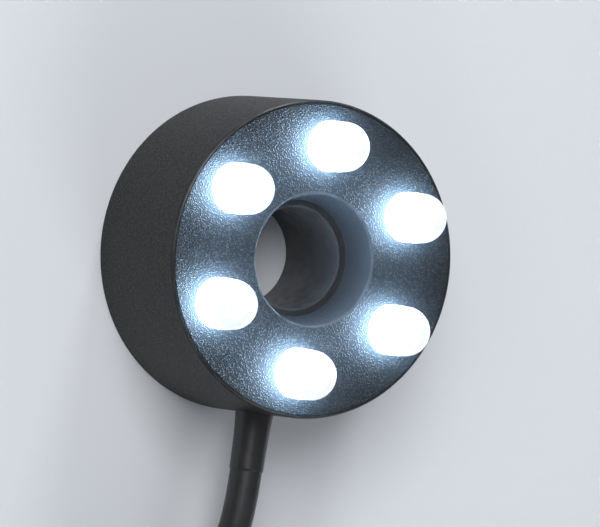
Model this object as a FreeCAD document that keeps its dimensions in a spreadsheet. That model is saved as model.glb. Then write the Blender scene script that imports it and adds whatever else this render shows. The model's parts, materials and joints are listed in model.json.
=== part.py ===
import FreeCAD, Part
import math
import os
import re

import Sketcher
from FreeCAD import Placement, Rotation, Vector

# A ring-shaped LED light that slips over the riser pipe of a small fountain.
# Frame: Z is the ring's axis and points the way the LEDs shine. The flat back lies on Z = 0, the origin is
# the middle of the bore there, and the cable leaves towards -Y. Lengths are in millimetres, angles in degrees.

SIZES = {
    # Housing: the front shell with its drafted outer wall, lit face and short inner collar
    "body_depth": 15.5,
    "face_radius": 16.0,
    "back_radius": 16.2,
    "cavity_radius": 14.6,
    "face_thickness": 2.2,
    "face_edge_round": 0.4,
    "mouth_edge_round": 0.25,
    "collar_mouth_radius": 6.65,
    "collar_neck_radius": 5.9,
    "collar_outer_radius": 7.9,
    "step_depth": 4.1,
    "socket_depth": 1.2,
    "socket_radius": 7.05,
    # Back cover: a plate with a grooved rim, and the sleeve whose inside is the bore
    "bore_radius": 5.2,
    "sleeve_radius": 6.95,
    "cover_radius": 14.5,
    "cover_thickness": 1.8,
    "rim_inner_radius": 12.7,
    "rim_height": 3.0,
    "back_edge_chamfer": 0.3,
    # Seals
    "gasket_thickness": 0.3,
    "gasket_inner_radius": 5.35,
    "rim_seal_section": 0.96,
    "rim_seal_radius": 14.1,
    "rim_seal_height": 1.8,
    "groove_width": 1.1,
    "groove_floor_radius": 13.6,
    # LEDs of the common 5 mm size
    "led_pitch_radius": 11.5,
    "led_radius": 2.5,
    "led_length": 8.6,
    "led_flange_radius": 2.9,
    "led_flange_thickness": 1.0,
    "led_hole_gap": 0.1,
    "lead_width": 0.5,
    "lead_pitch": 2.54,
    "lead_drop": 3.2,
    "anvil_bottom": 1.2,
    "anvil_top": 2.9,
    "anvil_end": 0.35,
    "flag_bottom": 1.4,
    "flag_top": 3.25,
    "flag_end": 0.78,
    "cup_height": 0.6,
    "cup_foot_radius": 0.5,
    "cup_rim_radius": 0.68,
    "cup_floor": 0.2,
    "chip_foot_radius": 0.28,
    "chip_top_radius": 0.46,
    "chip_height": 0.34,
    "cup_recess_gap": 0.05,
    # Circuit board under the LEDs, and the resin between it and the face
    "board_thickness": 1.0,
    "board_gap": 1.0,
    "board_inner_radius": 8.2,
    "board_outer_radius": 14.3,
    "lead_hole_radius": 0.45,
    "resin_inner_radius": 7.95,
    "resin_outer_radius": 14.55,
    "solder_height": 0.8,
    "solder_foot_radius": 0.75,
    "solder_tip_radius": 0.42,
    "wire_solder_foot_radius": 0.95,
    # Parts soldered under the board
    "part_radius": 11.25,
    "rectifier_length": 4.7,
    "rectifier_width": 3.8,
    "rectifier_height": 2.4,
    "rectifier_standoff": 0.1,
    "rectifier_edge_round": 0.3,
    "rectifier_span": 6.4,
    "rectifier_lead_width": 0.6,
    "rectifier_lead_thickness": 0.15,
    "rectifier_shoulder": 2.4,
    "resistor_length": 3.2,
    "resistor_width": 1.6,
    "resistor_height": 0.55,
    "resistor_cap": 0.5,
    # Cable, its boot in the wall, the tie inside and the two cores
    "cable_diameter": 3.3,
    "cable_height": 7.75,
    "cable_inner_end": 12.8,
    "boot_hole_radius": 2.0,
    "boot_neck_radius": 1.95,
    "boot_waist_radius": 1.8,
    "boot_end_radius": 1.73,
    "boot_waist": 2.2,
    "boot_length": 5.85,
    "boot_flange_radius": 2.45,
    "boot_flange_thickness": 0.4,
    "boot_flange_face": 14.35,
    "tie_ring_width": 0.9,
    "tie_ring_thickness": 0.5,
    "tie_ring_end": 13.05,
    "tie_head_width": 1.6,
    "tie_head_height": 1.1,
    "core_diameter": 0.9,
    "core_spacing": 1.4,
    "pad_side": 6.9,
    "pad_reach": 9.2,
    # Put-away cable: a four-layer coil beside the lamp, and its ties
    "coil_side": 8.85,
    "coil_reach": 66.55,
    "coil_mean_radius": 18.6,
    "coil_pitch": 3.75,
    "coil_layer_turns": 3,
    "coil_layers": 4,
    "coil_lift": 0.5,
    "coil_entry_angle": 150,
    "coil_extra_angle": 30,
    "strap_thickness": 0.45,
    "strap_width": 3.0,
    "strap_gap": 0.2,
    "strap_round": 1.5,
    # Barrel plug of the common 5.5 x 2.1 mm size
    "plug_boot_length": 9.0,
    "plug_boot_tip_radius": 2.3,
    "plug_boot_root_radius": 3.5,
    "plug_boot_groove": 0.65,
    "plug_boot_rings": 3,
    "plug_shoulder": 0.3,
    "plug_grip_length": 14.0,
    "plug_grip_radius": 4.75,
    "plug_nose_radius": 4.0,
    "plug_nose_length": 1.2,
    "plug_barrel_length": 9.5,
    "plug_barrel_radius": 2.75,
    "plug_barrel_bore": 2.25,
    "plug_root_radius": 3.3,
    "plug_contact_radius": 1.5,
    "plug_contact_bore": 1.05,
    "plug_set_in": 2.0,
    "plug_face_recess": 0.4,
}

LED_COUNT = 6
CABLE_ANGLE = -90
RECTIFIER_ANGLE = 60
RESISTOR_ANGLES = (0, 180)
STRAP_ANGLES = (30, 285)
COIL_STEP_TURNS = 0.25
GAP_SAMPLE = 0.8
LEAST_GAP = 0.4
ARC_SHARE = 0.45
UP = Vector(0, 0, 1)
TO_CABLE = Rotation(Vector(1, 0, 0), 90)
TO_PLUG = Rotation(Vector(0, 1, 0), 90)

# The lead's route to the coil, as points chosen by eye, between the straight runs at its two ends
LEAD_FIRST_RUN = 4.95
LEAD_ROUTE = [
    (-0.9, -32.4, 6.7),
    (-3.4, -38.9, 4.3),
]
LEAD_LAST_RUN = 7.0
# The tail's route to the plug after its first straight run, as points from the middle of the coil
TAIL_ROUTE = [
    (-24.4, -17.2, 12.3),
    (-20.5, -25.6, 9.0),
    (-13.0, -31.4, 6.1),
    (-4.2, -33.5, 4.8),
    (2.8, -33.5, 4.8),
]
TAIL_FIRST_RUN = 6.2
# The way of one core inside the housing between the sheath's end and its solder
CORE_ROUTE = [
    (0.7, -10.7, 7.75),
    (3.4, -9.3, 7.0),
    (6.1, -9.3, 7.35),
    (6.9, -9.2, 8.2),
]

doc = FreeCAD.newDocument("fountain_light")
sheet = doc.addObject("Spreadsheet::Sheet", "Sizes")
for row, (alias, number) in enumerate(SIZES.items(), start=1):
    sheet.set(f"A{row}", alias)
    sheet.set(f"B{row}", str(number))
    sheet.setAlias(f"B{row}", alias)
doc.recompute()

subparts = []


def full(text):
    """A formula in the sheet's aliases, written the way an expression names them."""
    return re.sub(r"[a-z]+(_[a-z]+)*", lambda word: "Sizes." + word.group(), text)


def size(text):
    return float(sheet.evalExpression(full(text)))


def bind(item, prop, text):
    item.setExpression(prop, full(text))


def place(item, base, rotation=Rotation()):
    item.Placement = Placement(Vector(*map(size, base)), rotation)
    for axis, text in zip("xyz", base):
        bind(item, f"Placement.Base.{axis}", text)


def place_on_ring(item, angle, radius, height):
    """Puts an item at an angle round the axis, with its X along the ring and its -Y outwards."""
    turn = math.radians(angle)
    base = (f"{radius} * {math.cos(turn):.9f}", f"{radius} * {math.sin(turn):.9f}", height)
    place(item, base, Rotation(UP, angle - CABLE_ANGLE))


def keep(item):
    """Notes an item as a sub-part of its own."""
    item.Label = item.Name
    subparts.append(item)
    return item


def new_sketch(body, name, role, offset=None):
    plane = next(f for f in body.Origin.OriginFeatures if f.Role == role)
    sketch = body.newObject("Sketcher::SketchObject", name)
    sketch.AttachmentSupport = [(plane, "")]
    sketch.MapMode = "FlatFace"
    if offset:
        bind(sketch, "AttachmentOffset.Base.z", offset)
    return sketch


def fix_point(sketch, geometry, point, x, y):
    for kind, text in (("DistanceX", x), ("DistanceY", y)):
        index = sketch.addConstraint(Sketcher.Constraint(kind, -1, 1, geometry, point, size(text)))
        bind(sketch, f"Constraints[{index}]", text)


def turned(name, outline):
    """A body turned about its Z axis from the (radius, height) corners of its outline."""
    body = doc.addObject("PartDesign::Body", name)
    sketch = new_sketch(body, name + "_outline", "XZ_Plane")
    corners = [Vector(size(radius), size(height), 0) for radius, height in outline]
    count = len(corners)
    for side in range(count):
        sketch.addGeometry(Part.LineSegment(corners[side], corners[(side + 1) % count]))
    for side in range(count):
        sketch.addConstraint(Sketcher.Constraint("Coincident", side, 2, (side + 1) % count, 1))
        fix_point(sketch, side, 1, *outline[side])
    turn = body.newObject("PartDesign::Revolution", name + "_turn")
    turn.Profile = sketch
    turn.ReferenceAxis = (sketch, ["V_Axis"])
    turn.Angle = 360
    doc.recompute()
    return body


def round_holes(body, name, role, offset, circles, around=None):
    """Cuts round holes from a plane outwards along its normal, repeated round the Z axis if asked."""
    sketch = new_sketch(body, name + "_circles", role, offset)
    for x, y, radius in circles:
        index = sketch.addGeometry(Part.Circle(Vector(size(x), size(y), 0), UP, size(radius)))
        fix_point(sketch, index, 3, x, y)
        limit = sketch.addConstraint(Sketcher.Constraint("Radius", index, size(radius)))
        bind(sketch, f"Constraints[{limit}]", radius)
    before = body.Shape.Volume
    pocket = body.newObject("PartDesign::Pocket", name)
    pocket.Profile = sketch
    pocket.Type = "ThroughAll"
    pocket.Reversed = True
    doc.recompute()
    removed = before - body.Shape.Volume
    if removed <= 0:
        raise RuntimeError(f"{name} cuts nothing")
    if around:
        pattern = body.newObject("PartDesign::PolarPattern", name + "_ring")
        pattern.Originals = [pocket]
        pattern.Axis = (sketch, ["N_Axis"])
        pattern.Angle = 360
        pattern.Occurrences = around
        body.Tip = pattern
        doc.recompute()
        if abs(before - body.Shape.Volume - around * removed) > 0.01 * removed:
            raise RuntimeError(f"{name} isn't repeated {around} times")


def round_edges(body, name, circles, radius):
    """Rounds the body's circular edges of the given radii and heights."""
    base = body.Tip
    names = []
    for number, edge in enumerate(base.Shape.Edges, start=1):
        if not isinstance(edge.Curve, Part.Circle):
            continue
        for rim, height in circles:
            near_radius = abs(edge.Curve.Radius - size(rim)) < 1e-4
            if near_radius and abs(edge.Curve.Center.z - size(height)) < 1e-4:
                names.append(f"Edge{number}")
    fillet = body.newObject("PartDesign::Fillet", name)
    fillet.Base = (base, names)
    bind(fillet, "Radius", radius)
    doc.recompute()


def solid(kind, name, sizes, base=("0", "0", "0"), rotation=Rotation()):
    item = doc.addObject("Part::" + kind, name)
    for prop, text in sizes.items():
        bind(item, prop, text)
    place(item, base, rotation)
    return item


def block(name, low, high):
    """A box between two corners."""
    sides = {p: f"({b}) - ({a})" for p, a, b in zip(("Length", "Width", "Height"), low, high)}
    return solid("Box", name, sides, low)


def joined(name, items):
    item = doc.addObject("Part::MultiFuse", name)
    item.Shapes = items
    return item


def cut(name, base, tool):
    item = doc.addObject("Part::Cut", name)
    item.Base = base
    item.Tool = tool
    return item


def group(name, items):
    item = doc.addObject("Part::Compound", name)
    item.Links = items
    return item


BOARD_TOP = "body_depth - face_thickness - led_flange_thickness - board_gap"
BOARD_BOTTOM = BOARD_TOP + " - board_thickness"
LED_BASE = "body_depth - face_thickness - led_flange_thickness"
STEP_HEIGHT = "body_depth - step_depth"
SLEEVE_TOP = STEP_HEIGHT + " - gasket_thickness"
LEAD_OFFSET = "lead_pitch / 2"
WALL = "(face_radius + back_radius) / 2"
BOOT_END = WALL + " + boot_length"


def make_housing():
    face_back = "body_depth - face_thickness"
    socket_bottom = STEP_HEIGHT + " - socket_depth"
    body = turned("housing", [
        ("back_radius", "0"),
        ("face_radius", "body_depth"),
        ("collar_mouth_radius", "body_depth"),
        ("collar_neck_radius", STEP_HEIGHT),
        ("socket_radius", STEP_HEIGHT),
        ("socket_radius", socket_bottom),
        ("collar_outer_radius", socket_bottom),
        ("collar_outer_radius", face_back),
        ("cavity_radius", face_back),
        ("cavity_radius", "0"),
    ])
    round_edges(body, "face_round", [("face_radius", "body_depth")], "face_edge_round")
    round_edges(body, "mouth_round", [("collar_mouth_radius", "body_depth")], "mouth_edge_round")
    led_hole = ("0", "-led_pitch_radius", "led_radius + led_hole_gap")
    round_holes(body, "led_holes", "XY_Plane", LED_BASE, [led_hole], LED_COUNT)
    cable_hole = ("0", "cable_height", "boot_hole_radius")
    round_holes(body, "cable_hole", "XZ_Plane", "collar_outer_radius", [cable_hole])
    keep(body)


def make_back_cover():
    groove_low = "rim_seal_height - groove_width / 2"
    groove_high = "rim_seal_height + groove_width / 2"
    body = turned("back_cover", [
        ("bore_radius", "0"),
        ("cover_radius - back_edge_chamfer", "0"),
        ("cover_radius", "back_edge_chamfer"),
        ("cover_radius", groove_low),
        ("groove_floor_radius", groove_low),
        ("groove_floor_radius", groove_high),
        ("cover_radius", groove_high),
        ("cover_radius", "rim_height"),
        ("rim_inner_radius", "rim_height"),
        ("rim_inner_radius", "cover_thickness"),
        ("sleeve_radius", "cover_thickness"),
        ("sleeve_radius", SLEEVE_TOP),
        ("bore_radius", SLEEVE_TOP),
    ])
    keep(body)


def make_seals():
    keep(turned("sleeve_gasket", [
        ("gasket_inner_radius", SLEEVE_TOP),
        ("sleeve_radius", SLEEVE_TOP),
        ("sleeve_radius", STEP_HEIGHT),
        ("gasket_inner_radius", STEP_HEIGHT),
    ]))
    sizes = {"Radius1": "rim_seal_radius", "Radius2": "rim_seal_section / 2"}
    keep(solid("Torus", "rim_seal", sizes, ("0", "0", "rim_seal_height")))


def make_board():
    body = turned("circuit_board", [
        ("board_inner_radius", BOARD_BOTTOM),
        ("board_outer_radius", BOARD_BOTTOM),
        ("board_outer_radius", BOARD_TOP),
        ("board_inner_radius", BOARD_TOP),
    ])
    holes = [(side + LEAD_OFFSET, "-led_pitch_radius", "lead_hole_radius") for side in ("-", "")]
    round_holes(body, "board_holes", "XY_Plane", None, holes, LED_COUNT)
    keep(body)


def make_resin():
    body = turned("led_resin", [
        ("resin_inner_radius", BOARD_TOP),
        ("resin_outer_radius", BOARD_TOP),
        ("resin_outer_radius", "body_depth - face_thickness"),
        ("resin_inner_radius", "body_depth - face_thickness"),
    ])
    seat = ("0", "-led_pitch_radius", "led_flange_radius")
    round_holes(body, "flange_seats", "XY_Plane", LED_BASE, [seat], LED_COUNT)
    holes = [(side + LEAD_OFFSET, "-led_pitch_radius", "lead_hole_radius") for side in ("-", "")]
    round_holes(body, "resin_holes", "XY_Plane", None, holes, LED_COUNT)
    keep(body)


def make_leds():
    """Each LED is a clear body cast round two lead frames and the chip in its cup."""
    half_lead = "lead_width / 2"
    outer_face = LEAD_OFFSET + " + " + half_lead
    inner_face = LEAD_OFFSET + " - " + half_lead
    cathodes, anodes, chips = [], [], []
    for number in range(1, LED_COUNT + 1):
        angle = CABLE_ANGLE + (number - 1) * 360 / LED_COUNT
        tag = f"_{number}"

        def piece(text):
            return text + tag

        def sited(item):
            place_on_ring(item, angle, "led_pitch_radius", LED_BASE)
            return item

        post = block(
            piece("cathode_post"),
            (inner_face, "-" + half_lead, "-lead_drop"),
            (outer_face, half_lead, "anvil_top"),
        )
        anvil = block(
            piece("anvil"),
            ("-anvil_end", "-" + half_lead, "anvil_bottom"),
            (outer_face, half_lead, "anvil_top"),
        )
        cup = solid("Cone", piece("cup"), {
            "Radius1": "cup_foot_radius",
            "Radius2": "cup_rim_radius",
            "Height": "cup_height",
        }, ("0", "0", "anvil_top"))
        recess = solid("Cone", piece("recess"), {
            "Radius1": "chip_foot_radius",
            "Radius2": "chip_top_radius + cup_recess_gap",
            "Height": "cup_height - cup_floor",
        }, ("0", "0", "anvil_top + cup_floor"))
        cathode_blank = joined(piece("cathode_blank"), [post, anvil, cup])
        cathodes.append(sited(cut(piece("cathode"), cathode_blank, recess)))

        anode_post = block(
            piece("anode_post"),
            ("-(" + outer_face + ")", "-" + half_lead, "-lead_drop"),
            ("-(" + inner_face + ")", half_lead, "flag_top"),
        )
        flag = block(
            piece("flag"),
            ("-(" + outer_face + ")", "-" + half_lead, "flag_bottom"),
            ("-flag_end", half_lead, "flag_top"),
        )
        anodes.append(sited(joined(piece("anode"), [anode_post, flag])))

        chip = solid("Cone", piece("chip"), {
            "Radius1": "chip_foot_radius",
            "Radius2": "chip_top_radius",
            "Height": "chip_height",
        })
        place_on_ring(chip, angle, "led_pitch_radius", LED_BASE + " + anvil_top + cup_floor")
        chips.append(chip)

        flange_sizes = {"Radius": "led_flange_radius", "Height": "led_flange_thickness"}
        flange = solid("Cylinder", piece("flange"), flange_sizes)
        barrel_sizes = {"Radius": "led_radius", "Height": "led_length - led_radius"}
        barrel = solid("Cylinder", piece("barrel"), barrel_sizes)
        dome = solid("Sphere", piece("dome"), {"Radius": "led_radius"}, ("0", "0", "led_length - led_radius"))
        dome.Angle1 = 0
        flat = block(
            piece("flat"),
            ("led_radius", "-led_flange_radius", "0"),
            ("led_flange_radius", "led_flange_radius", "led_flange_thickness"),
        )
        blank = joined(piece("lens_blank"), [flange, barrel, dome])
        lens = sited(cut(piece("lens"), blank, flat))
        inside = group(piece("inside"), [cathodes[-1], anodes[-1], chips[-1]])
        keep(cut(piece("led"), lens, inside))
    keep(group("led_cathode_frames", cathodes))
    keep(group("led_anode_frames", anodes))
    keep(group("led_chips", chips))
    return cathodes + anodes


def make_solder(leads):
    """A cone of solder under the board round each LED lead, and one that holds the end of each core."""
    foot = BOARD_BOTTOM + " - solder_height"
    joints = []
    for number, lead in enumerate(leads):
        side = "" if number < LED_COUNT else "-"
        angle = CABLE_ANGLE + (number % LED_COUNT) * 360 / LED_COUNT
        blob = solid("Cone", f"solder_blank_{number}", {
            "Radius1": "solder_tip_radius",
            "Radius2": "solder_foot_radius",
            "Height": "solder_height",
        }, (side + LEAD_OFFSET, "0", "0"))
        carrier = group(f"solder_place_{number}", [blob])
        place_on_ring(carrier, angle, "led_pitch_radius", foot)
        joints.append(cut(f"solder_{number}", carrier, lead))
    for side in ("-", ""):
        joints.append(solid("Cone", "wire_solder", {
            "Radius1": "core_diameter / 2",
            "Radius2": "wire_solder_foot_radius",
            "Height": "solder_height",
        }, (side + "pad_side", "-pad_reach", foot)))
    keep(group("solder_joints", joints))


def make_rectifier():
    half_width = "rectifier_width / 2"
    top = "-rectifier_standoff"
    body = block(
        "rectifier_block",
        ("-" + half_width, "-rectifier_length / 2", top + " - rectifier_height"),
        (half_width, "rectifier_length / 2", top),
    )
    doc.recompute()
    rounded = doc.addObject("Part::Fillet", "rectifier")
    rounded.Base = body
    edge_round = size("rectifier_edge_round")
    rounded.Edges = [(edge, edge_round, edge_round) for edge in range(1, len(body.Shape.Edges) + 1)]
    place_on_ring(rounded, RECTIFIER_ANGLE, "part_radius", BOARD_BOTTOM)
    keep(rounded)

    leads = []
    shelf = top + " - rectifier_height / 2"
    for side, row in ((side, row) for side in (-1, 1) for row in (-1, 1)):
        low = f"{row} * lead_pitch / 2 - rectifier_lead_width / 2"
        high = f"{row} * lead_pitch / 2 + rectifier_lead_width / 2"
        tag = f"{len(leads)}"

        def strip(name, near, far, bottom, ceiling):
            ends = (near, far) if side > 0 else (f"-({far})", f"-({near})")
            return block(name + tag, (ends[0], low, bottom), (ends[1], high, ceiling))

        shoulder = "rectifier_shoulder"
        thick = "rectifier_lead_thickness"
        parts = [
            strip("lead_shelf_", half_width, shoulder, shelf, shelf + " + " + thick),
            strip("lead_riser_", shoulder + " - " + thick, shoulder, shelf, "0"),
            strip("lead_foot_", shoulder + " - " + thick, "rectifier_span / 2", "-" + thick, "0"),
        ]
        leads.append(joined("rectifier_lead_" + tag, parts))
    frame = group("rectifier_leads", leads)
    place_on_ring(frame, RECTIFIER_ANGLE, "part_radius", BOARD_BOTTOM)
    keep(frame)


def make_resistors():
    """Two flat chip resistors, each with a metal cap on both ends."""
    half_width = "resistor_width / 2"
    half_length = "resistor_length / 2"
    body_end = half_length + " - resistor_cap"
    bodies, caps = [], []
    for number, angle in enumerate(RESISTOR_ANGLES, start=1):
        spans = [
            (f"resistor_{number}", f"-({body_end})", body_end, bodies),
            (f"cap_left_{number}", f"-{half_length}", f"-({body_end})", caps),
            (f"cap_right_{number}", body_end, half_length, caps),
        ]
        for name, start, end, kin in spans:
            bar = block(name, (start, "-" + half_width, "-resistor_height"), (end, half_width, "0"))
            holder = group(name + "_placed", [bar])
            place_on_ring(holder, angle, "part_radius", BOARD_BOTTOM)
            kin.append(holder)
    keep(group("resistors", bodies))
    keep(group("resistor_caps", caps))


def make_boot():
    """The flared boot, turned about the cable's line, from its flange inside the wall outwards."""
    wall = WALL + " - boot_flange_face"
    body = turned("cable_boot", [
        ("cable_diameter / 2", "-boot_flange_thickness"),
        ("boot_flange_radius", "-boot_flange_thickness"),
        ("boot_flange_radius", "0"),
        ("boot_neck_radius", "0"),
        ("boot_neck_radius", wall),
        ("boot_waist_radius", wall + " + boot_waist"),
        ("boot_end_radius", BOOT_END + " - boot_flange_face"),
        ("cable_diameter / 2", BOOT_END + " - boot_flange_face"),
    ])
    place(body, ("0", "-boot_flange_face", "cable_height"), TO_CABLE)
    keep(body)


def make_cable_entry():
    """The stretch of cable that the boot holds, and the tie round its end inside the wall."""
    keep(solid("Cylinder", "cable_entry", {
        "Radius": "cable_diameter / 2",
        "Height": BOOT_END + " - cable_inner_end",
    }, ("0", "-cable_inner_end", "cable_height"), TO_CABLE))

    def disc(name, radius):
        sizes = {"Radius": radius, "Height": "tie_ring_width"}
        return solid("Cylinder", name, sizes, ("0", "-tie_ring_end", "cable_height"), TO_CABLE)

    ring = disc("tie_ring", "cable_diameter / 2 + tie_ring_thickness")
    head_bottom = "cable_height - cable_diameter / 2 - tie_head_height"
    head = block(
        "tie_head",
        ("-tie_head_width / 2", "-tie_ring_end - tie_ring_width", head_bottom),
        ("tie_head_width / 2", "-tie_ring_end", "cable_height"),
    )
    core = disc("tie_bore", "cable_diameter / 2")
    keep(cut("sheath_tie", joined("tie_blank", [ring, head]), core))


def arc(start, corner, end):
    """The arc from start to end whose end tangents meet at the corner."""
    weight = (end - start).Length / (2 * (corner - start).Length)
    middle = (start + corner * (2 * weight) + end) / (2 + 2 * weight)
    return Part.Arc(start, middle, end).toShape()


def rounded_route(points):
    """Straight runs joined by tangent arcs, each as large as its two runs allow, and the arcs' radii."""
    points = [Vector(*p) for p in points]
    edges, radii = [], []
    here = points[0]
    for before, corner, after in zip(points, points[1:], points[2:]):
        run_in, run_out = corner - before, after - corner
        set_back = ARC_SHARE * min(run_in.Length, run_out.Length)
        start = corner - run_in.normalize() * set_back
        end = corner + run_out.normalize() * set_back
        edges += [Part.LineSegment(here, start).toShape(), arc(start, corner, end)]
        radii.append(set_back / math.tan(run_in.getAngle(run_out) / 2))
        here = end
    edges.append(Part.LineSegment(here, points[-1]).toShape())
    return edges, radii


def tube(name, edges, diameter):
    """A round tube along a chain of tangent edges, with its volume tested against section times length."""
    path = Part.Wire(edges)
    start = path.OrderedVertexes[0].Point
    heading = edges[0].tangentAt(edges[0].FirstParameter)
    section = Part.Wire([Part.Circle(start, heading, diameter / 2).toShape()])
    shape = path.makePipeShell([section], True, False)
    share = shape.Volume / (math.pi * diameter**2 / 4 * path.Length)
    print(f"{name}: length {path.Length:.1f} mm, volume over section times length {share:.4f}")
    if abs(share - 1) > 0.01:
        raise RuntimeError(f"{name} isn't a clean tube")
    item = doc.addObject("Part::Feature", name)
    item.Shape = shape
    item.Placement = Placement()
    return item


def routed(name, points, diameter):
    edges, radii = rounded_route(points)
    print(f"{name}: radii " + ", ".join(f"{radius:.1f}" for radius in radii))
    return keep(tube(name, edges, diameter))


def make_wires():
    """The two cores, from the end of the sheath under the board and up to their solder."""
    start = (size("core_spacing / 2"), -size("cable_inner_end"), size("cable_height"))
    end = (size("pad_side"), -size("pad_reach"), size(BOARD_BOTTOM + " - solder_height"))
    for name, side in (("wire_red", 1), ("wire_black", -1)):
        points = [(side * x, y, z) for x, y, z in (start, *CORE_ROUTE, end)]
        routed(name, points, size("core_diameter"))


def biarc(start, start_way, end, end_way):
    """Two tangent arcs from one point and direction to another."""
    chord = end - start
    ways = start_way + end_way
    bend = 2 * (1 - start_way.dot(end_way))
    along = chord.dot(ways)
    reach = (math.sqrt(along**2 + bend * chord.dot(chord)) - along) / bend
    first, second = start + start_way * reach, end - end_way * reach
    middle = (first + second) / 2
    return [arc(start, first, middle), arc(middle, second, end)]


class Coil:
    """The coil's line, which spirals in and out and climbs a layer in the half turn of each reversal."""

    def __init__(self):
        self.pitch = size("coil_pitch")
        self.layer_turns = size("coil_layer_turns")
        self.layers = int(size("coil_layers"))
        self.outer_radius = size("coil_mean_radius") + self.pitch * self.layer_turns / 2
        self.inner_radius = self.outer_radius - self.pitch * self.layer_turns
        self.low = size("coil_lift + cable_diameter / 2")
        self.entry = math.radians(size("coil_entry_angle"))
        self.turns = self.layers * self.layer_turns + size("coil_extra_angle") / 360
        self.straight = size("cable_diameter")
        self.centre = Vector(size("coil_side"), -size("coil_reach"), 0)
        self.start = self.at(0) - self.way(0) * self.straight

    def layer(self, turn):
        return min(max(int(turn / self.layer_turns), 0), self.layers - 1)

    def radius(self, turn):
        layer = self.layer(turn)
        travelled = self.pitch * (turn - layer * self.layer_turns)
        return self.inner_radius + travelled if layer % 2 else self.outer_radius - travelled

    def radii_towards(self, angle):
        """How far from the middle the turns lie where they pass one direction."""
        first = (math.radians(angle) - self.entry) / (2 * math.pi) % 1
        return [self.radius(first + count) for count in range(math.ceil(self.turns - first))]

    def at(self, turn):
        radius = self.radius(turn)
        height = self.low + self.pitch * self.layer(turn)
        for reversal in range(1, self.layers):
            share = (turn - reversal * self.layer_turns) * 2 + 0.5
            if 0 <= share <= 1:
                height = self.low + self.pitch * (reversal - 1 + share**2 * (3 - 2 * share))
        angle = self.entry + 2 * math.pi * turn
        return self.centre + Vector(radius * math.cos(angle), radius * math.sin(angle), height)

    def way(self, turn):
        step = 1e-5
        return (self.at(turn + step) - self.at(turn - step)).normalize()

    def edges(self):
        count = round(self.layers * self.layer_turns / COIL_STEP_TURNS)
        stops = [step * COIL_STEP_TURNS for step in range(count + 1)] + [self.turns]
        edges = [Part.LineSegment(self.start, self.at(0)).toShape()]
        for here, there in zip(stops, stops[1:]):
            edges += biarc(self.at(here), self.way(here), self.at(there), self.way(there))
        edges.append(Part.LineSegment(self.at(self.turns), self.end()).toShape())
        return edges

    def end(self):
        return self.at(self.turns) + self.way(self.turns) * self.straight


def least_gap(edges, diameter, apart):
    """The least room between stretches of one tube that lie further apart than a given length along it."""
    samples = []
    along = 0.0
    for edge in edges:
        count = max(2, math.ceil(edge.Length / GAP_SAMPLE) + 1)
        points = edge.discretize(Number=count)
        step = edge.Length / (count - 1)
        samples += [(along + n * step, p.x, p.y, p.z) for n, p in enumerate(points[:-1])]
        along += edge.Length
    nearest = math.inf
    for index, (place_a, xa, ya, za) in enumerate(samples):
        for place_b, xb, yb, zb in samples[index + 1:]:
            if place_b - place_a > apart and abs(za - zb) < 2 * diameter:
                nearest = min(nearest, (xa - xb) ** 2 + (ya - yb) ** 2 + (za - zb) ** 2)
    return math.sqrt(nearest) - diameter


def make_cord():
    """The free lead, the coil, the tail to the plug and the straps that hold the coil."""
    diameter = size("cable_diameter")
    coil = Coil()
    lead = [Vector(0, -size(BOOT_END) - run, size("cable_height")) for run in (0, LEAD_FIRST_RUN)]
    lead += LEAD_ROUTE + [coil.start - coil.way(0) * LEAD_LAST_RUN, coil.start]
    routed("cable_lead", lead, diameter)

    edges = coil.edges()
    gap = least_gap(edges, diameter, math.pi * coil.inner_radius)
    print(f"cable_coil: {coil.turns:.2f} turns, least gap to itself {gap:.2f} mm")
    if gap < LEAST_GAP:
        raise RuntimeError("the coil's turns are too close")
    keep(tube("cable_coil", edges, diameter))

    start = coil.end()
    tail = [start, start + coil.way(coil.turns) * TAIL_FIRST_RUN]
    tail += [coil.centre + Vector(*p) for p in TAIL_ROUTE]
    routed("cable_tail", tail, diameter)

    straps = []
    spare = diameter / 2 + size("strap_gap")
    thickness = size("strap_thickness")
    top = size("coil_lift") + coil.pitch * (coil.layers - 1) + diameter + size("strap_gap") / 2
    for number, angle in enumerate(STRAP_ANGLES, start=1):
        radii = coil.radii_towards(angle)
        straps.append(strap(number, min(radii) - spare, max(radii) + spare, thickness, top))
        straps[-1].Placement = Placement(coil.centre, Rotation(UP, angle))
    keep(group("coil_ties", straps))
    return tail[-1]


def strap(number, reach_in, reach_out, thickness, top):
    """A flat strap round the coil's bundle of turns, with rounded corners."""
    half_width = size("strap_width") / 2
    inner_round = size("strap_round")

    def loop(grow):
        low = Vector(reach_in - grow, -half_width, thickness - grow)
        high = Vector(reach_out + grow, half_width, top + grow)
        bar = Part.makeBox(*(high - low), low)
        across = [e for e in bar.Edges if abs(e.tangentAt(e.FirstParameter).y) > 0.9]
        return bar.makeFillet(inner_round + grow, across)

    item = doc.addObject("Part::Feature", f"strap_{number}")
    item.Shape = loop(thickness).cut(loop(0))
    return item


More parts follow.
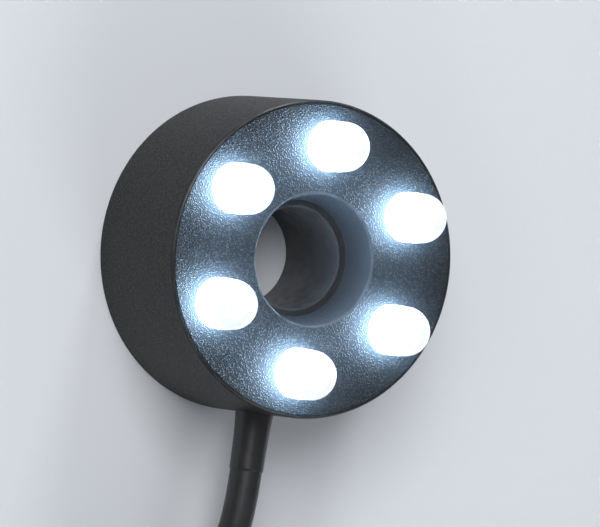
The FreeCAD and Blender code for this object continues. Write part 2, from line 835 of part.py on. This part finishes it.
def make_plug(start):
    """A barrel plug that lies along X from the end of the tail."""
    outline = [("0", "0"), ("plug_boot_tip_radius", "0")]
    for ring in range(int(size("plug_boot_rings"))):
        share = f"{2 * ring + 1} / (2 * plug_boot_rings + 1)"
        radius = f"plug_boot_tip_radius + (plug_boot_root_radius - plug_boot_tip_radius) * {share}"
        near = f"plug_boot_length * {share}"
        far = f"{near} + plug_boot_length / (4 * plug_boot_rings + 2)"
        outline += [
            (radius, near),
            (radius + " - plug_boot_groove", near),
            (radius + " - plug_boot_groove", far),
            (radius + " + plug_boot_groove / 4", far),
        ]
    outline += [("plug_boot_root_radius", "plug_boot_length"), ("0", "plug_boot_length")]
    boot = turned("plug_boot", outline)
    grip_end = "plug_boot_length + plug_grip_length"
    seat = grip_end + " - plug_set_in"
    barrel_end = grip_end + " + plug_barrel_length"
    grip = turned("plug_grip", [
        ("0", "plug_boot_length"),
        ("plug_boot_root_radius + plug_shoulder", "plug_boot_length"),
        ("plug_grip_radius", "plug_boot_length + plug_nose_length"),
        ("plug_grip_radius", grip_end + " - plug_nose_length"),
        ("plug_nose_radius", grip_end),
        ("plug_root_radius", grip_end),
        ("plug_root_radius", seat),
        ("0", seat),
    ])
    barrel = turned("plug_barrel", [
        ("plug_barrel_bore", seat),
        ("plug_root_radius", seat),
        ("plug_root_radius", grip_end),
        ("plug_barrel_radius", grip_end),
        ("plug_barrel_radius", barrel_end),
        ("plug_barrel_bore", barrel_end),
    ])
    insulator = turned("plug_insulator", [
        ("plug_contact_radius", seat),
        ("plug_barrel_bore", seat),
        ("plug_barrel_bore", barrel_end + " - plug_face_recess"),
        ("plug_contact_radius", barrel_end + " - plug_face_recess"),
    ])
    contact = turned("plug_contact", [
        ("plug_contact_bore", seat),
        ("plug_contact_radius", seat),
        ("plug_contact_radius", barrel_end + " - plug_face_recess"),
        ("plug_contact_bore", barrel_end + " - plug_face_recess"),
    ])
    for body in (boot, grip, barrel, insulator, contact):
        body.Placement = Placement(start, TO_PLUG)
        keep(body)


def test_and_write():
    doc.recompute()
    for item in doc.Objects:
        if {"Invalid", "Error"} & set(item.State):
            raise RuntimeError(f"{item.Label} failed: {item.State}")
    os.makedirs("parts", exist_ok=True)
    for item in subparts:
        shape = item.Shape
        if shape.isNull() or not shape.isValid() or not shape.Solids:
            raise RuntimeError(f"{item.Label} has no valid solid")
    for item in subparts:
        item.Shape.exportStep(f"parts/{item.Label}.step")
    print(f"{len(subparts)} sub-parts written")


make_housing()
make_back_cover()
make_seals()
make_board()
make_resin()
make_solder(make_leds())
make_rectifier()
make_resistors()
make_boot()
make_cable_entry()
make_wires()
make_plug(make_cord())
test_and_write()
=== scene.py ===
import json
import math

import bmesh
import bpy
from mathutils import Matrix, Vector


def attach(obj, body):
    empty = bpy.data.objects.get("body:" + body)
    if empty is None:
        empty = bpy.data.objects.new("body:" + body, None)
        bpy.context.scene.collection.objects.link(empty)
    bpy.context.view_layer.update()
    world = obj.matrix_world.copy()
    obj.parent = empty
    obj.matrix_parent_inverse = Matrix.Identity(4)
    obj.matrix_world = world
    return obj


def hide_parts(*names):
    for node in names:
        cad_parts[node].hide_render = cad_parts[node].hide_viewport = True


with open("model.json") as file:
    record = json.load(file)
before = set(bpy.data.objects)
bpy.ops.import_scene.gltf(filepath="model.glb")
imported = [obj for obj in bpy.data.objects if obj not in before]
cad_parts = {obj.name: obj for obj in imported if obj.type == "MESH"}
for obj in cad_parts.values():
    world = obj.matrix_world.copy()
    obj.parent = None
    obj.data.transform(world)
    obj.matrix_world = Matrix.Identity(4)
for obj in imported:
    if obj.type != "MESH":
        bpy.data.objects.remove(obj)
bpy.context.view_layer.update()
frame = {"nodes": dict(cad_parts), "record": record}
nodes = frame["nodes"]

# A ring-shaped fountain light with its cable put away beside it. Z is the ring's axis and points the way
# the LEDs shine, and the cable leaves towards -Y. Sizes are in millimetres, unless a comment says
# otherwise.
MM = 0.001

# Camera: distance and target in metres, the view's lean from the ring's axis, its roll, the cable's turn
# about the axis, and the pixel of the photograph that the target falls on
IMAGE_WIDTH, IMAGE_HEIGHT = 600, 527
CAMERA_DISTANCE = 0.48
CAMERA_LEAN = math.radians(28.78)
CAMERA_ROLL = math.radians(-5.42)
CABLE_TURN = math.radians(3.3)
PIXELS_PER_M = 9840.0
TARGET = Vector((0.0, 0.0, 0.0075))
TARGET_PIXEL = (276.2, 256.2)


def make_camera():
    turn = Matrix.Rotation(CABLE_TURN, 3, "Z")
    back = turn @ Vector((-math.sin(CAMERA_LEAN), 0, math.cos(CAMERA_LEAN)))
    across = turn @ Vector((math.cos(CAMERA_LEAN), 0, math.sin(CAMERA_LEAN)))
    along = turn @ Vector((0, 1, 0))
    cos_roll, sin_roll = math.cos(CAMERA_ROLL), math.sin(CAMERA_ROLL)
    right = across * cos_roll - along * sin_roll
    up = across * sin_roll + along * cos_roll
    move_right = (IMAGE_WIDTH / 2 - TARGET_PIXEL[0]) / PIXELS_PER_M
    move_down = (IMAGE_HEIGHT / 2 - TARGET_PIXEL[1]) / PIXELS_PER_M
    data = bpy.data.cameras.new("camera")
    data.sensor_width = 36
    data.lens = PIXELS_PER_M * CAMERA_DISTANCE * data.sensor_width / IMAGE_WIDTH
    data.clip_start, data.clip_end = 0.01, 10
    camera = bpy.data.objects.new("camera", data)
    place = TARGET + back * CAMERA_DISTANCE + right * move_right - up * move_down
    camera.matrix_world = Matrix.Translation(place) @ Matrix((right, up, back)).transposed().to_4x4()
    bpy.context.scene.collection.objects.link(camera)
    bpy.context.scene.camera = camera


class Look:
    """A material under construction: its node tree and its shader."""

    def __init__(self, name, **sockets):
        self.material = bpy.data.materials.new(name)
        self.material.use_nodes = True
        self.tree = self.material.node_tree
        self.shader = self.tree.nodes["Principled BSDF"]
        self.coords = self.tree.nodes.new("ShaderNodeTexCoord").outputs["Object"]
        for socket, value in sockets.items():
            self.shader.inputs[socket.replace("_", " ")].default_value = value

    def feed(self, socket, value):
        """Links another node's output to a socket, or sets the socket to a plain value."""
        if isinstance(value, bpy.types.NodeSocket):
            self.tree.links.new(value, socket)
        else:
            socket.default_value = value

    def node(self, kind, inputs, **settings):
        node = self.tree.nodes.new("ShaderNode" + kind)
        for key, value in settings.items():
            setattr(node, key, value)
        for key, value in inputs.items():
            self.feed(node.inputs[key], value)
        return node

    def to_shader(self, socket, output):
        self.tree.links.new(output, self.shader.inputs[socket])

    def noise(self, scale, detail, roughness=0.5):
        inputs = {"Vector": self.coords, "Scale": scale, "Detail": detail, "Roughness": roughness}
        return self.node("TexNoise", inputs).outputs["Fac"]

    def cells(self, scale, smoothness):
        inputs = {"Vector": self.coords, "Scale": scale, "Smoothness": smoothness}
        return self.node("TexVoronoi", inputs, feature="SMOOTH_F1").outputs["Distance"]

    def span(self, value, source=(0.0, 1.0), to=(0.0, 1.0)):
        """The value eased from one range, given as its two ends, onto another."""
        names = ("Value", "From Min", "From Max", "To Min", "To Max")
        inputs = dict(zip(names, (value, *source, *to)))
        return self.node("MapRange", inputs, interpolation_type="SMOOTHSTEP").outputs["Result"]

    def maths(self, operation, first, second):
        return self.node("Math", {0: first, 1: second}, operation=operation).outputs[0]

    def mixed(self, factor, first, second):
        """A mix of two colours, of which the first may be another node's output."""
        node = self.node("Mix", {"Factor": factor}, data_type="RGBA")
        for name, colour in (("A", first), ("B", second)):
            socket = next(s for s in node.inputs if s.name == name and s.type == "RGBA")
            self.feed(socket, (*colour, 1) if isinstance(colour, tuple) else colour)
        return next(s for s in node.outputs if s.type == "RGBA")

    def bump(self, height, distance, strength, before=None):
        inputs = {"Height": height, "Distance": distance, "Strength": strength}
        if before:
            inputs["Normal"] = before
        return self.node("Bump", inputs).outputs["Normal"]

    def radius_and_height(self):
        """The distance from the Z axis and the height, for marks that follow the ring's edges."""
        flat = self.node("VectorMath", {0: self.coords, 1: (1, 1, 0)}, operation="MULTIPLY").outputs[0]
        radius = self.node("VectorMath", {0: flat}, operation="LENGTH").outputs["Value"]
        height = self.node("SeparateXYZ", {0: self.coords}).outputs["Z"]
        return radius, height


def metres(sizes):
    return tuple(size * MM for size in sizes)


# Housing: radius and height add up to about RIM_SUM where its face and wall run into the rounded rim, and
# to more on the rim itself. The plain collar gives way to the grained face between two radii, and is
# painted lighter than the grained plastic as painted light in the bore.
FACE_RADIUS, FACE_HEIGHT, FACE_ROUND = 16.0, 15.5, 0.4
RIM_SUM = FACE_RADIUS + FACE_HEIGHT - FACE_ROUND
RIM_SUMS = (RIM_SUM - 0.1, RIM_SUM + 0.02)
CREST_SUMS = (RIM_SUM + 0.1, RIM_SUM + 0.16)
COLLAR_RADII = (6.7, 6.95)
PEBBLES_PER_M, PEBBLE_DEPTH = 5100, 0.026
SKIN_PER_M, SKIN_DEPTH = 9500, 0.012
# The pebbles' gaps are darker than their tops: painted shade in the hollows between pebbles.
SHADED_PEBBLE_GAPS, PEBBLE_TOPS = (0.004, 0.0045, 0.005), (0.02, 0.021, 0.023)
# The crest's lighter colour is partly wear and partly a painted highlight along the rim.
CREST_WEAR_AND_HIGHLIGHT = (0.04, 0.041, 0.043)
# The collar's colour is lighter than the pebbles' as painted light in the bore.
PLAIN_COLLAR_PAINTED_LIGHT = (0.032, 0.034, 0.038)


def grained_plastic():
    """Black plastic, pebbled outside with painted shade in the gaps, plain in the collar, which is painted
    lighter as painted light in the bore, and rubbed smooth along the face's rim, whose crest is lighter
    partly from wear and partly as a painted highlight.
    """
    look = Look("grained_black_plastic", IOR=1.48, Specular_IOR_Level=0.33)
    radius, height = look.radius_and_height()
    edge = look.maths("ADD", radius, height)
    rim = look.span(edge, metres(RIM_SUMS))
    crest = look.span(edge, metres(CREST_SUMS))
    collar = look.span(radius, metres(COLLAR_RADII), to=(1.0, 0.0))
    plain = look.maths("ADD", rim, collar)
    patches = look.span(look.noise(scale=420, detail=3), (0.35, 0.65), to=(0.4, 1.0))
    # Lighter crest in patches: partly wear, partly a painted highlight along the rim.
    wear_and_highlight = look.maths("MULTIPLY", crest, patches)
    pebbles = look.span(look.cells(PEBBLES_PER_M, smoothness=0.2), (0.05, 0.58), to=(1.0, 0.0))
    skin = look.noise(SKIN_PER_M, detail=2, roughness=0.6)
    # Darker pebble gaps: painted shade in the hollows.
    colour = look.mixed(pebbles, SHADED_PEBBLE_GAPS, PEBBLE_TOPS)
    colour = look.mixed(wear_and_highlight, colour, CREST_WEAR_AND_HIGHLIGHT)
    # Lighter collar: painted light in the bore.
    look.to_shader("Base Color", look.mixed(collar, colour, PLAIN_COLLAR_PAINTED_LIGHT))
    rough = look.span(pebbles, to=(0.54, 0.33))
    polish = look.span(rim, to=(0.0, 0.17))
    look.to_shader("Roughness", look.maths("SUBTRACT", rough, polish))
    normal = look.bump(pebbles, PEBBLE_DEPTH * MM, look.span(plain, to=(1.0, 0.12)))
    normal = look.bump(skin, SKIN_DEPTH * MM, look.span(plain, to=(0.6, 0.15)), normal)
    look.to_shader("Normal", normal)
    return look.material


def smooth_plastic(name, dark, light, rough=(0.3, 0.45), grain=0.004):
    """Moulded plastic or rubber with faint clouding, a fine skin and uneven gloss."""
    look = Look(name, IOR=1.5)
    clouds = look.span(look.noise(scale=180, detail=4), (0.3, 0.7))
    look.to_shader("Base Color", look.mixed(clouds, dark, light))
    gloss = look.span(look.noise(scale=900, detail=4, roughness=0.65), (0.3, 0.7), to=rough)
    look.to_shader("Roughness", gloss)
    skin = look.noise(scale=5200, detail=3, roughness=0.6)
    look.to_shader("Normal", look.bump(skin, grain * MM, strength=0.5))
    return look.material


def plain_metal(name, dark, light, rough=(0.18, 0.34), grain=0.003):
    """Bright metal with faint tarnish, a fine skin and uneven gloss."""
    look = Look(name, Metallic=1.0)
    tarnish = look.span(look.noise(scale=700, detail=4), (0.3, 0.7))
    look.to_shader("Base Color", look.mixed(tarnish, dark, light))
    gloss = look.span(look.noise(scale=2600, detail=4, roughness=0.7), (0.3, 0.7), to=rough)
    look.to_shader("Roughness", gloss)
    skin = look.noise(scale=6000, detail=3, roughness=0.6)
    look.to_shader("Normal", look.bump(skin, grain * MM, strength=0.4))
    return look.material


# LEDs: the heights where their light starts to rise, is strongest and has faded, then its strength and
# colour at the tip and at the peak
GLOW_START, GLOW_PEAK, GLOW_END = FACE_HEIGHT - 1.1, FACE_HEIGHT + 0.8, FACE_HEIGHT + 3.4
TIP_STRENGTH, PEAK_STRENGTH = 0.68, 80.0
TIP_LIGHT, PEAK_LIGHT = (0.9, 0.95, 1.0), (0.4, 0.68, 1.0)
EPOXY_PALE, EPOXY_STREAKED = (0.44, 0.46, 0.49), (0.35, 0.39, 0.43)


def lit_epoxy():
    """The clear LED bodies: brightest and bluest low down beside the chip, and still white at the tip."""
    look = Look("led_clear", Roughness=0.05, IOR=1.54, Transmission_Weight=0.06)
    _, height = look.radius_and_height()
    rise = look.span(height, metres((GLOW_START, GLOW_PEAK)))
    fade = look.span(height, metres((GLOW_PEAK, GLOW_END)), to=(1.0, 0.0))
    glow = look.maths("MULTIPLY", rise, fade)
    streaks = look.span(look.noise(scale=620, detail=2), (0.4, 0.7))
    look.to_shader("Base Color", look.mixed(streaks, EPOXY_PALE, EPOXY_STREAKED))
    look.to_shader("Emission Color", look.mixed(glow, TIP_LIGHT, PEAK_LIGHT))
    look.to_shader("Emission Strength", look.span(glow, to=(TIP_STRENGTH, PEAK_STRENGTH)))
    return look.material


def lit_chip():
    """The phosphor on the chips, speckled and lit."""
    look = Look("led_chip", Roughness=0.4, Emission_Strength=12.0)
    speckle = look.noise(scale=5000, detail=2)
    look.to_shader("Base Color", look.mixed(speckle, (0.95, 0.9, 0.6), (1.0, 0.97, 0.8)))
    look.to_shader("Emission Color", look.mixed(speckle, (1.0, 1.0, 0.95), (0.95, 0.98, 1.0)))
    return look.material


# Plain finishes by material slot: the darkest and lightest colour and, where they aren't the usual ones,
# the range of roughness and the depth of the skin
PLASTICS = {
    "plain_black_plastic": ((0.052, 0.054, 0.059), (0.074, 0.077, 0.084), (0.32, 0.48), 0.006),
    "seal_rubber": ((0.009, 0.009, 0.009), (0.016, 0.016, 0.016), (0.55, 0.75)),
    "sealing_resin": ((0.014, 0.014, 0.015), (0.026, 0.026, 0.027), (0.12, 0.25)),
    "board_green": ((0.006, 0.1, 0.035), (0.014, 0.16, 0.065), (0.25, 0.4)),
    "resistor_glaze": ((0.014, 0.014, 0.018), (0.026, 0.026, 0.032), (0.15, 0.3)),
    "core_red": ((0.42, 0.01, 0.008), (0.56, 0.02, 0.016)),
    "core_black": ((0.011, 0.011, 0.012), (0.021, 0.021, 0.023)),
    "natural_nylon": ((0.68, 0.67, 0.6), (0.8, 0.79, 0.74), (0.35, 0.5)),
    "boot_rubber": ((0.01, 0.01, 0.011), (0.018, 0.018, 0.02), (0.3, 0.42)),
    "cable_sheath": ((0.01, 0.01, 0.011), (0.019, 0.019, 0.021), (0.36, 0.48)),
    "tie_plastic": ((0.013, 0.013, 0.013), (0.026, 0.026, 0.027), (0.35, 0.5)),
    "plug_soft_plastic": ((0.011, 0.011, 0.012), (0.021, 0.021, 0.023), (0.4, 0.55), 0.008),
}
METALS = {
    "tinned_metal": ((0.62, 0.62, 0.6), (0.78, 0.78, 0.76)),
    "solder": ((0.56, 0.57, 0.58), (0.72, 0.73, 0.74), (0.22, 0.42)),
    "plug_nickel": ((0.62, 0.61, 0.58), (0.76, 0.75, 0.72), (0.12, 0.26)),
    "contact_brass": ((0.64, 0.52, 0.27), (0.8, 0.68, 0.4), (0.16, 0.3)),
}


def make_looks():
    """The material of each slot of the record."""
    looks = {"grained_black_plastic": grained_plastic(), "led_clear": lit_epoxy(), "led_chip": lit_chip()}
    for slot, values in PLASTICS.items():
        looks[slot] = smooth_plastic(slot, *values)
    for slot, values in METALS.items():
        looks[slot] = plain_metal(slot, *values)
    return looks


def dress(piece, look):
    piece.data.materials.clear()
    piece.data.materials.append(look)


def dress_nodes(looks):
    for part in frame["record"]["subparts"]:
        dress(nodes[part["node"]], looks[part["material_slot"]])


# Cable: points listed from the boot to the coil and, measured from the coil's centre, from the coil to
# the plug. The coil's turns follow the same rule as its solid, and its lift leaves room for the straps.
CABLE_DIAMETER, CABLE_HEIGHT = 3.3, 7.75
BOOT_REACH = 21.95
LEAD = [(0, -BOOT_REACH, CABLE_HEIGHT), (0, -26.9, CABLE_HEIGHT), (-0.9, -32.4, 6.7), (-3.4, -38.9, 4.3)]
LEAD_LAST_RUN, TAIL_FIRST_RUN = 7.0, 6.2
PLUG_HEIGHT = 4.8
TAIL = [
    (-24.4, -17.2, 12.3),
    (-20.5, -25.6, 9.0),
    (-13.0, -31.4, 6.1),
    (-4.2, -33.5, PLUG_HEIGHT),
    (2.8, -33.5, PLUG_HEIGHT),
]
COIL_CENTRE = Vector((8.85, -66.55, 0.0))
COIL_PITCH, COIL_MEAN_RADIUS, COIL_LIFT = 3.75, 18.6, 0.5
COIL_LAYERS, LAYER_TURNS = 4, 3
COIL_OUTER_RADIUS = COIL_MEAN_RADIUS + COIL_PITCH * LAYER_TURNS / 2
COIL_INNER_RADIUS = COIL_OUTER_RADIUS - COIL_PITCH * LAYER_TURNS
COIL_LOW = CABLE_DIAMETER / 2 + COIL_LIFT
COIL_ENTRY, COIL_EXTRA = math.radians(150), math.radians(30)
COIL_TURNS = COIL_LAYERS * LAYER_TURNS + COIL_EXTRA / (2 * math.pi)
CLIMB_TURNS = 0.5
SMALL_TURN = 1e-4
POINTS_PER_TURN = 24
SPLINE_INSET = 0.75 + 0.25 * math.cos(2 * math.pi / POINTS_PER_TURN)


def eased(share):
    """A share from 0 to 1, with a slow start and a slow end."""
    return share**2 * (3 - 2 * share)


def coil_point(turn, inset=1.0):
    """A point of the coil's line. The spline runs a little inside its points, which inset makes up for."""
    layer = min(max(int(turn / LAYER_TURNS), 0), COIL_LAYERS - 1)
    travelled = COIL_PITCH * (turn - layer * LAYER_TURNS)
    radius = COIL_INNER_RADIUS + travelled if layer % 2 else COIL_OUTER_RADIUS - travelled
    height = COIL_LOW + COIL_PITCH * layer
    for reversal in range(1, COIL_LAYERS):
        share = (turn - reversal * LAYER_TURNS) / CLIMB_TURNS + 0.5
        if 0 <= share <= 1:
            height = COIL_LOW + COIL_PITCH * (reversal - 1 + eased(share))
    angle = COIL_ENTRY + 2 * math.pi * turn
    reach = radius / inset
    return COIL_CENTRE + Vector((reach * math.cos(angle), reach * math.sin(angle), height))


def coil_way(turn):
    return (coil_point(turn + SMALL_TURN) - coil_point(turn - SMALL_TURN)).normalized()


def cable_points():
    """The cable's whole line, from the boot through the coil to the plug."""
    start = coil_point(0) - coil_way(0) * CABLE_DIAMETER
    end = coil_point(COIL_TURNS) + coil_way(COIL_TURNS) * CABLE_DIAMETER
    points = [Vector(p) for p in LEAD]
    points += [start - coil_way(0) * LEAD_LAST_RUN, start]
    steps = round(COIL_TURNS * POINTS_PER_TURN)
    points += [coil_point(COIL_TURNS * step / steps, SPLINE_INSET) for step in range(steps + 1)]
    points += [end, end + coil_way(COIL_TURNS) * TAIL_FIRST_RUN]
    return points + [COIL_CENTRE + Vector(p) for p in TAIL]


def make_cable(look, straps):
    points = cable_points()
    curve = bpy.data.curves.new("cable", "CURVE")
    curve.dimensions = "3D"
    spline = curve.splines.new("NURBS")
    spline.points.add(len(points) - 1)
    for control, point in zip(spline.points, points):
        control.co = (*(point * MM), 1)
    spline.order_u = 3
    spline.use_endpoint_u = True
    spline.resolution_u = 6
    curve.bevel_depth = CABLE_DIAMETER / 2 * MM
    curve.bevel_resolution = 8
    curve.use_fill_caps = True
    cable = bpy.data.objects.new("cable", curve)
    bpy.context.scene.collection.objects.link(cable)
    dress(cable, look)
    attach(cable, "root")
    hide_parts("cable_lead", "cable_coil", "cable_tail")


def join_rings(mesh, rings):
    """Quads between each ring of points and the next one."""
    for lower, upper in zip(rings, rings[1:]):
        for step in range(len(lower)):
            after = (step + 1) % len(lower)
            mesh.faces.new((lower[step], lower[after], upper[after], upper[step]))


def link_mesh(name, mesh):
    """A smooth-shaded object from a bmesh, with its normals turned outwards."""
    bmesh.ops.recalc_face_normals(mesh, faces=mesh.faces)
    for face in mesh.faces:
        face.smooth = True
    data = bpy.data.meshes.new(name)
    mesh.to_mesh(data)
    mesh.free()
    piece = bpy.data.objects.new(name, data)
    bpy.context.scene.collection.objects.link(piece)
    return piece


# Straps, at two angles in degrees round the coil: a flat band each, which starts near the top, laps over
# its own start and narrows to rounded ends
STRAP_ANGLES = (30, 285)
STRAP_THICKNESS, STRAP_WIDTH, STRAP_CHAMFER = 0.45, 3.0, 0.12
STRAP_SIDE_GAP, STRAP_FLAT_GAP = 0.17, 0.05
STRAP_START = math.radians(100)
STRAP_DIRECTIONS, STRAP_STEP = 240, 0.3
STRAP_LAP, STRAP_RAMP, STRAP_LAP_GAP = 15.0, 2.5, 0.03
STRAP_END, STRAP_TIP_SHARE = 1.2, 0.4


def bundle_outline(angle):
    """The strap's middle line round the turns that pass one direction, as (radius, height) points."""
    first = (math.radians(angle) - COIL_ENTRY) / (2 * math.pi) % 1
    spots = []
    for count in range(math.ceil(COIL_TURNS - first)):
        spot = coil_point(first + count) - COIL_CENTRE
        spots.append((math.hypot(spot.x, spot.y), spot.z))
    middle = (sum(s[0] for s in spots) / len(spots), sum(s[1] for s in spots) / len(spots))
    side = CABLE_DIAMETER / 2 + STRAP_SIDE_GAP + STRAP_THICKNESS / 2
    flat = CABLE_DIAMETER / 2 + STRAP_FLAT_GAP + STRAP_THICKNESS / 2
    outline = []
    for step in range(STRAP_DIRECTIONS):
        turn = STRAP_START - 2 * math.pi * step / STRAP_DIRECTIONS
        way = (math.cos(turn), math.sin(turn))
        spot = max(spots, key=lambda s: (s[0] - middle[0]) * way[0] + (s[1] - middle[1]) * way[1])
        outline.append(Vector((spot[0] + side * way[0], spot[1] + flat * way[1])))
    return outline


def even_line(corners, step):
    """Points at even steps along a line of corners, each with its distance from the start."""
    points, travelled, wanted = [], 0.0, 0.0
    for here, there in zip(corners, corners[1:]):
        length = (there - here).length
        while length and wanted <= travelled + length:
            points.append((wanted, here.lerp(there, (wanted - travelled) / length)))
            wanted += step
        travelled += length
    return points


def strap_section(left):
    """The band's chamfered section, as (across, height) points, a given length from its nearer end."""
    half = STRAP_WIDTH / 2
    if left < STRAP_END:
        half *= math.sqrt(max(1 - (1 - left / STRAP_END) ** 2, STRAP_TIP_SHARE**2))
    inner, thick = half - STRAP_CHAMFER, STRAP_THICKNESS / 2
    edge = thick - STRAP_CHAMFER
    upper = [(-half, edge), (-inner, thick), (inner, thick), (half, edge)]
    return upper + [(across, -height) for across, height in reversed(upper)]


def add_strap(mesh, angle):
    loop = bundle_outline(angle)
    around = sum((a - b).length for a, b in zip(loop, loop[1:] + loop[:1]))
    line = [(s, p) for s, p in even_line(loop + loop, STRAP_STEP) if s <= around + STRAP_LAP]
    turn = math.radians(angle)
    outwards = Vector((math.cos(turn), math.sin(turn), 0))
    along = Vector((-math.sin(turn), math.cos(turn), 0))
    rings = []
    for index, (travelled, point) in enumerate(line):
        before, after = line[max(index - 1, 0)][1], line[min(index + 1, len(line) - 1)][1]
        way = (after - before).normalized()
        normal = Vector((-way.y, way.x))
        share = min(max((travelled - around + STRAP_RAMP) / STRAP_RAMP, 0), 1)
        lift = eased(share) * (STRAP_THICKNESS + STRAP_LAP_GAP)
        ring = []
        for across, height in strap_section(min(travelled, line[-1][0] - travelled)):
            spot = point + normal * (lift + height)
            place = COIL_CENTRE + outwards * spot.x + along * across + Vector((0, 0, spot.y))
            ring.append(mesh.verts.new(place * MM))
        rings.append(ring)
    join_rings(mesh, rings)
    mesh.faces.new(rings[0])
    mesh.faces.new(reversed(rings[-1]))


def make_straps(look):
    mesh = bmesh.new()
    for angle in STRAP_ANGLES:
        add_strap(mesh, angle)
    straps = link_mesh("coil_straps", mesh)
    dress(straps, look)
    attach(straps, "root")
    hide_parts("coil_ties")
    return straps


def lathe(name, profile, segments, matrix):
    """A closed mesh turned about Z from (radius, height) points, then moved by a matrix."""
    mesh = bmesh.new()
    rings = []
    for radius, height in profile:
        ring = []
        for step in range(segments):
            angle = 2 * math.pi * step / segments
            spot = Vector((radius * math.cos(angle), radius * math.sin(angle), height))
            ring.append(mesh.verts.new(matrix @ (spot * MM)))
        rings.append(ring)
    join_rings(mesh, rings + rings[:1])
    return link_mesh(name, mesh)


# Boot: BOOT_FACE and WALL_RADIUS are how far its flange's face and the wall's outside are from the ring's
# axis. The other places count from that face along the cable, and the lip's points are (inset, distance
# from the tip).
BOOT_FACE, WALL_RADIUS = 14.35, 16.1
BOOT_WALL = WALL_RADIUS - BOOT_FACE
BOOT_TIP = BOOT_REACH - BOOT_FACE
FLANGE_RADIUS, FLANGE_THICKNESS, FLANGE_ROUND = 2.45, 0.4, 0.05
BOOT_NECK_RADIUS, BOOT_END_RADIUS = 1.95, 1.725
FLARE_DECAY, FLARE_STEPS = 2.1, 24
LIP_LENGTH, LIP_POINTS = 0.06, ((0.01, 0.02), (0.035, 0.0))
BOOT_SEGMENTS = 72


def boot_profile():
    """The boot's closed outline, as (radius, distance along the cable) points."""
    inner = CABLE_DIAMETER / 2
    rounded = FLANGE_RADIUS - FLANGE_ROUND
    profile = [
        (inner, -FLANGE_THICKNESS),
        (rounded, -FLANGE_THICKNESS),
        (FLANGE_RADIUS, FLANGE_ROUND - FLANGE_THICKNESS),
        (FLANGE_RADIUS, -FLANGE_ROUND),
        (rounded, 0.0),
        (BOOT_NECK_RADIUS, 0.0),
        (BOOT_NECK_RADIUS, BOOT_WALL),
    ]
    for step in range(1, FLARE_STEPS + 1):
        run = (BOOT_TIP - BOOT_WALL - LIP_LENGTH) * step / FLARE_STEPS
        flare = (BOOT_NECK_RADIUS - BOOT_END_RADIUS) * math.exp(-run / FLARE_DECAY)
        profile.append((BOOT_END_RADIUS + flare, BOOT_WALL + run))
    profile += [(BOOT_END_RADIUS - inset, BOOT_TIP - short) for inset, short in LIP_POINTS]
    return profile + [(inner, BOOT_TIP)]


def make_boot(look):
    """The rubber boot, whose flare runs out smoothly along the cable to a thin rounded lip."""
    seat = Matrix.Translation(Vector((0, -BOOT_FACE, CABLE_HEIGHT)) * MM)
    boot = lathe("boot", boot_profile(), BOOT_SEGMENTS, seat @ Matrix.Rotation(math.pi / 2, 4, "X"))
    dress(boot, look)
    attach(boot, "root")
    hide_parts("cable_boot")


# Stage, in metres: a pale floor just under the part, a faint sky, and soft lamps with their place, watts
# and size
FLOOR_REACH, FLOOR_HEIGHT = 3.0, -0.05 * MM
FLOOR_COLOURS = ((0.675, 0.702, 0.735), (0.715, 0.742, 0.775))
SKY_COLOUR, SKY_STRENGTH = (0.9, 0.93, 1.0), 0.25
LAMPS = {
    "key": ((-0.34, 0.34, 0.8), 5.6, 0.5),
    "fill": ((0.35, -0.7, 0.6), 2.2, 0.5),
    "rim": ((0.05, 0.8, 0.2), 3.2, 0.18),
}


def make_floor():
    mesh = bpy.data.meshes.new("floor")
    signs = ((-1, -1), (1, -1), (1, 1), (-1, 1))
    corners = [(x * FLOOR_REACH, y * FLOOR_REACH, FLOOR_HEIGHT) for x, y in signs]
    mesh.from_pydata(corners, [], [(0, 1, 2, 3)])
    floor = bpy.data.objects.new("floor", mesh)
    bpy.context.scene.collection.objects.link(floor)
    look = Look("floor", Roughness=0.9)
    look.to_shader("Base Color", look.mixed(look.noise(scale=3, detail=2), *FLOOR_COLOURS))
    dress(floor, look.material)


def make_light():
    world = bpy.data.worlds.new("studio")
    world.use_nodes = True
    sky = world.node_tree.nodes["Background"]
    sky.inputs["Color"].default_value = (*SKY_COLOUR, 1)
    sky.inputs["Strength"].default_value = SKY_STRENGTH
    bpy.context.scene.world = world
    for name, (place, watts, size) in LAMPS.items():
        data = bpy.data.lights.new(name, "AREA")
        data.energy = watts
        data.size = size
        lamp = bpy.data.objects.new(name, data)
        lamp.location = place
        lamp.rotation_mode = "QUATERNION"
        lamp.rotation_quaternion = (-Vector(place)).to_track_quat("-Z", "Y")
        bpy.context.scene.collection.objects.link(lamp)
    bpy.context.scene.view_settings.view_transform = "Standard"


make_camera()
looks = make_looks()
dress_nodes(looks)
make_cable(looks["cable_sheath"], make_straps(looks["tie_plastic"]))
make_boot(looks["boot_rubber"])
make_floor()
make_light()
